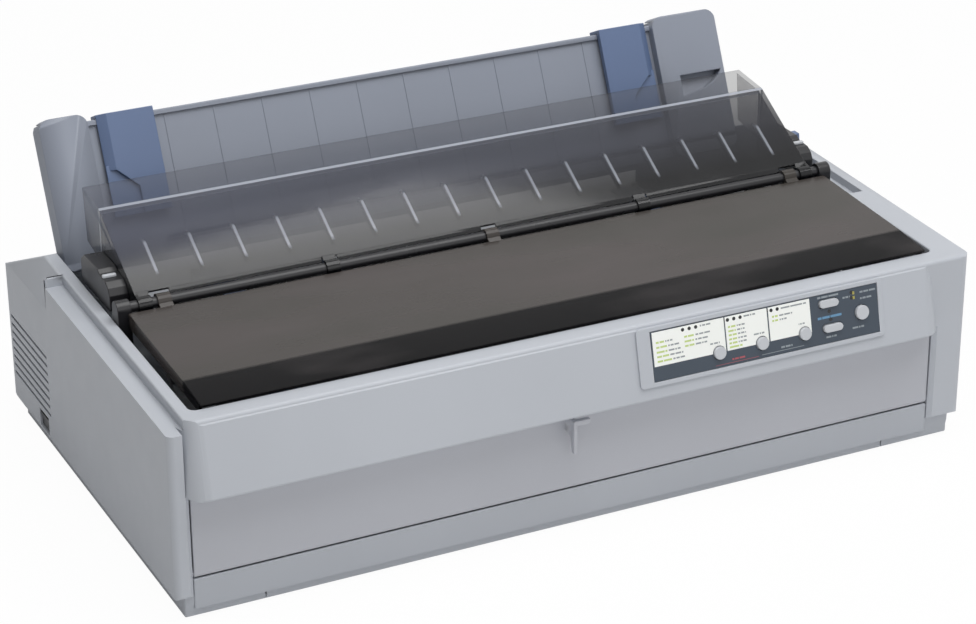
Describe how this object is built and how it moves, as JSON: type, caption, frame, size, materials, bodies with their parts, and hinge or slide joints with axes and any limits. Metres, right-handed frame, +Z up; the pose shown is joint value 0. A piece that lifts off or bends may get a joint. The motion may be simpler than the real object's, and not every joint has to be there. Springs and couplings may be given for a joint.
{
  "type": "dot matrix printer",
  "caption": "Wide-carriage dot matrix printer with smoked hinged cover, leaning paper guide, edge guides, button panel, platen knob, push tractors and print head carriage.",
  "frame": {"origin": "centre of the overall footprint, on the floor under the feet", "axes": "+X to the printer's right, +Y to its rear, +Z up; the control panel faces -Y"},
  "size_m": [0.639, 0.4052, 0.2398],
  "materials": {
    "case_plastic": "fine-grained moulding",
    "base_plastic": "fine-grained moulding",
    "front_plastic": "fine-grained moulding",
    "smoke_plastic": "smoked, nearly opaque",
    "flap_plastic": "smoked, translucent",
    "guide_plastic": "fine-grained moulding",
    "blue_plastic": "satin",
    "plate_plastic": "satin film",
    "lens_plastic": "polished",
    "key_plastic": "satin",
    "white_plastic": "satin",
    "black_plastic": "satin",
    "foot_rubber": "matt",
    "platen_rubber": "ground, matt",
    "belt_rubber": "matt",
    "zinc_steel": "zinc plated",
    "steel": "ground",
    "motor_steel": "satin black",
    "head_metal": "black, cast",
    "port_metal": "plated",
    "board": "green solder resist",
    "ribbon_fabric": "inked weave"
  },
  "bodies": {
    "case": {"lower_case": "base_plastic", "rubber_feet": "foot_rubber", "upper_case": "case_plastic", "paper_shelf": "case_plastic", "cover_rod": "black_plastic", "rod_brackets": "black_plastic", "label_plate": "plate_plastic", "indicator_lenses": "lens_plastic", "panel_board": "board", "base_frame": "zinc_steel", "side_frame_left": "zinc_steel", "side_frame_right": "zinc_steel", "feed_motor": "motor_steel", "tractor_guide_shaft": "steel", "carriage_shaft": "steel", "rear_rail": "zinc_steel", "carriage_motor": "motor_steel", "timing_belt": "belt_rubber", "ribbon_cartridge": "black_plastic", "ink_ribbon": "ribbon_fabric", "main_board": "board", "power_supply": "zinc_steel", "ac_inlet": "black_plastic", "interface_ports": "port_metal", "case_screws": "steel"},
    "printer_cover": {"printer_cover": "smoke_plastic"},
    "rear_flap": {"rear_flap": "flap_plastic", "flap_ears": "black_plastic"},
    "paper_guide": {"paper_guide": "guide_plastic"},
    "edge_guide_left": {"edge_guide_left": "blue_plastic"},
    "edge_guide_right": {"edge_guide_right": "blue_plastic"},
    "release_lever": {"release_lever": "blue_plastic"},
    "front_cover": {"front_cover": "front_plastic"},
    "button_1": {"button_1": "key_plastic"},
    "button_2": {"button_2": "key_plastic"},
    "button_3": {"button_3": "key_plastic"},
    "button_up": {"button_up": "key_plastic"},
    "button_down": {"button_down": "key_plastic"},
    "button_pause": {"button_pause": "key_plastic"},
    "platen": {"platen": "platen_rubber", "platen_shaft": "steel", "paper_knob": "black_plastic", "platen_gear": "white_plastic"},
    "feed_pinion": {"feed_pinion": "steel"},
    "tractor_drive": {"tractor_drive_shaft": "steel", "tractor_gear": "white_plastic"},
    "tractor_left": {"tractor_left": "white_plastic"},
    "sprocket_left": {"tractor_left_sprocket": "black_plastic"},
    "lid_left": {"tractor_left_lid": "blue_plastic"},
    "tractor_right": {"tractor_right": "white_plastic"},
    "sprocket_right": {"tractor_right_sprocket": "black_plastic"},
    "lid_right": {"tractor_right_lid": "blue_plastic"},
    "paper_bail": {"paper_bail": "black_plastic"},
    "carriage": {"carriage": "black_plastic", "print_head": "head_metal"},
    "drive_pulley": {"drive_pulley": "steel"},
    "idler_pulley": {"idler_pulley": "steel"},
    "ribbon_knob": {"ribbon_knob": "blue_plastic"},
    "power_switch": {"power_switch": "black_plastic"}
  },
  "joints": [
    {"name": "cover_hinge", "type": "hinge", "parent": "case", "child": "printer_cover", "pos_m": [-0.0115, -0.03041, 0.16], "axis": [-1, 0, 0], "range_deg": [0, 75]},
    {"name": "flap_hinge", "type": "hinge", "parent": "case", "child": "rear_flap", "pos_m": [-0.0115, -0.03041, 0.16], "axis": [1, 0, 0], "range_deg": [0, 40]},
    {"name": "guide_tilt", "type": "hinge", "parent": "case", "child": "paper_guide", "pos_m": [-0.0115, 0.10659, 0.137], "axis": [-1, 0, 0], "range_deg": [0, 20]},
    {"name": "edge_left_slide", "type": "slide", "parent": "paper_guide", "child": "edge_guide_left", "axis": [1, 0, 0], "range_m": [-0.006, 0.15]},
    {"name": "edge_right_slide", "type": "slide", "parent": "paper_guide", "child": "edge_guide_right", "axis": [-1, 0, 0], "range_m": [-0.003, 0.15]},
    {"name": "lever_tilt", "type": "hinge", "parent": "case", "child": "release_lever", "pos_m": [0.2815, 0.02059, 0.1302], "axis": [1, 0, 0], "range_deg": [0, 30]},
    {"name": "front_cover_hinge", "type": "hinge", "parent": "case", "child": "front_cover", "pos_m": [-0.0115, -0.18341, 0.0346], "axis": [1, 0, 0], "range_deg": [0, 75]},
    {"name": "button_1_press", "type": "slide", "parent": "case", "child": "button_1", "axis": [0, 0.9703, -0.2419], "range_m": [0, 0.0012], "stiffness_N_per_m": 150, "springref_m": -0.0012},
    {"name": "button_2_press", "type": "slide", "parent": "case", "child": "button_2", "axis": [0, 0.9703, -0.2419], "range_m": [0, 0.0012], "stiffness_N_per_m": 150, "springref_m": -0.0012},
    {"name": "button_3_press", "type": "slide", "parent": "case", "child": "button_3", "axis": [0, 0.9703, -0.2419], "range_m": [0, 0.0012], "stiffness_N_per_m": 150, "springref_m": -0.0012},
    {"name": "button_up_press", "type": "slide", "parent": "case", "child": "button_up", "axis": [0, 0.9703, -0.2419], "range_m": [0, 0.0012], "stiffness_N_per_m": 150, "springref_m": -0.0012},
    {"name": "button_down_press", "type": "slide", "parent": "case", "child": "button_down", "axis": [0, 0.9703, -0.2419], "range_m": [0, 0.0012], "stiffness_N_per_m": 150, "springref_m": -0.0012},
    {"name": "button_pause_press", "type": "slide", "parent": "case", "child": "button_pause", "axis": [0, 0.9703, -0.2419], "range_m": [0, 0.0012], "stiffness_N_per_m": 150, "springref_m": -0.0012},
    {"name": "platen_turn", "type": "hinge", "parent": "case", "child": "platen", "pos_m": [-0.0115, 0.00459, 0.104], "axis": [1, 0, 0], "continuous": true},
    {"name": "pinion_turn", "type": "hinge", "parent": "case", "child": "feed_pinion", "pos_m": [0.2385, 0.02334, 0.07152], "axis": [1, 0, 0], "continuous": true},
    {"name": "tractor_drive_turn", "type": "hinge", "parent": "case", "child": "tractor_drive", "pos_m": [-0.0115, 0.04659, 0.104], "axis": [1, 0, 0], "continuous": true},
    {"name": "tractor_left_slide", "type": "slide", "parent": "case", "child": "tractor_left", "axis": [1, 0, 0], "range_m": [-0.028, 0.11]},
    {"name": "tractor_right_slide", "type": "slide", "parent": "case", "child": "tractor_right", "axis": [-1, 0, 0], "range_m": [-0.028, 0.11]},
    {"name": "sprocket_left_turn", "type": "hinge", "parent": "tractor_left", "child": "sprocket_left", "pos_m": [-0.1875, 0.04659, 0.104], "axis": [1, 0, 0], "continuous": true},
    {"name": "sprocket_right_turn", "type": "hinge", "parent": "tractor_right", "child": "sprocket_right", "pos_m": [0.1645, 0.04659, 0.104], "axis": [1, 0, 0], "continuous": true},
    {"name": "lid_left_hinge", "type": "hinge", "parent": "tractor_left", "child": "lid_left", "pos_m": [-0.1965, 0.04659, 0.122], "axis": [0, -1, 0], "range_deg": [0, 95]},
    {"name": "lid_right_hinge", "type": "hinge", "parent": "tractor_right", "child": "lid_right", "pos_m": [0.1735, 0.04659, 0.122], "axis": [0, 1, 0], "range_deg": [0, 95]},
    {"name": "bail_hinge", "type": "hinge", "parent": "case", "child": "paper_bail", "pos_m": [-0.0115, 0.03659, 0.124], "axis": [-1, 0, 0], "range_deg": [0, 35]},
    {"name": "carriage_slide", "type": "slide", "parent": "case", "child": "carriage", "axis": [1, 0, 0], "range_m": [-0.2, 0.2]},
    {"name": "drive_pulley_turn", "type": "hinge", "parent": "case", "child": "drive_pulley", "pos_m": [-0.2535, -0.09141, 0.061], "axis": [0, 0, 1], "continuous": true},
    {"name": "idler_pulley_turn", "type": "hinge", "parent": "case", "child": "idler_pulley", "pos_m": [0.2305, -0.09141, 0.061], "axis": [0, 0, 1], "continuous": true},
    {"name": "ribbon_knob_turn", "type": "hinge", "parent": "case", "child": "ribbon_knob", "pos_m": [-0.2175, -0.13741, 0.125], "axis": [0, 0, -1], "continuous": true},
    {"name": "power_rocker", "type": "hinge", "parent": "case", "child": "power_switch", "pos_m": [-0.3132, 0.08359, 0.028], "axis": [0, 1, 0], "range_deg": [0, 14]}
  ],
  "couplings": [
    {"joint": "pinion_turn", "follows": "platen_turn", "ratio": -4},
    {"joint": "tractor_drive_turn", "follows": "platen_turn", "ratio": -2.5},
    {"joint": "sprocket_left_turn", "follows": "platen_turn", "ratio": -2.5},
    {"joint": "sprocket_right_turn", "follows": "platen_turn", "ratio": -2.5},
    {"joint": "drive_pulley_turn", "follows": "carriage_slide", "rad_per_m": -125},
    {"joint": "idler_pulley_turn", "follows": "carriage_slide", "rad_per_m": -125}
  ]
}
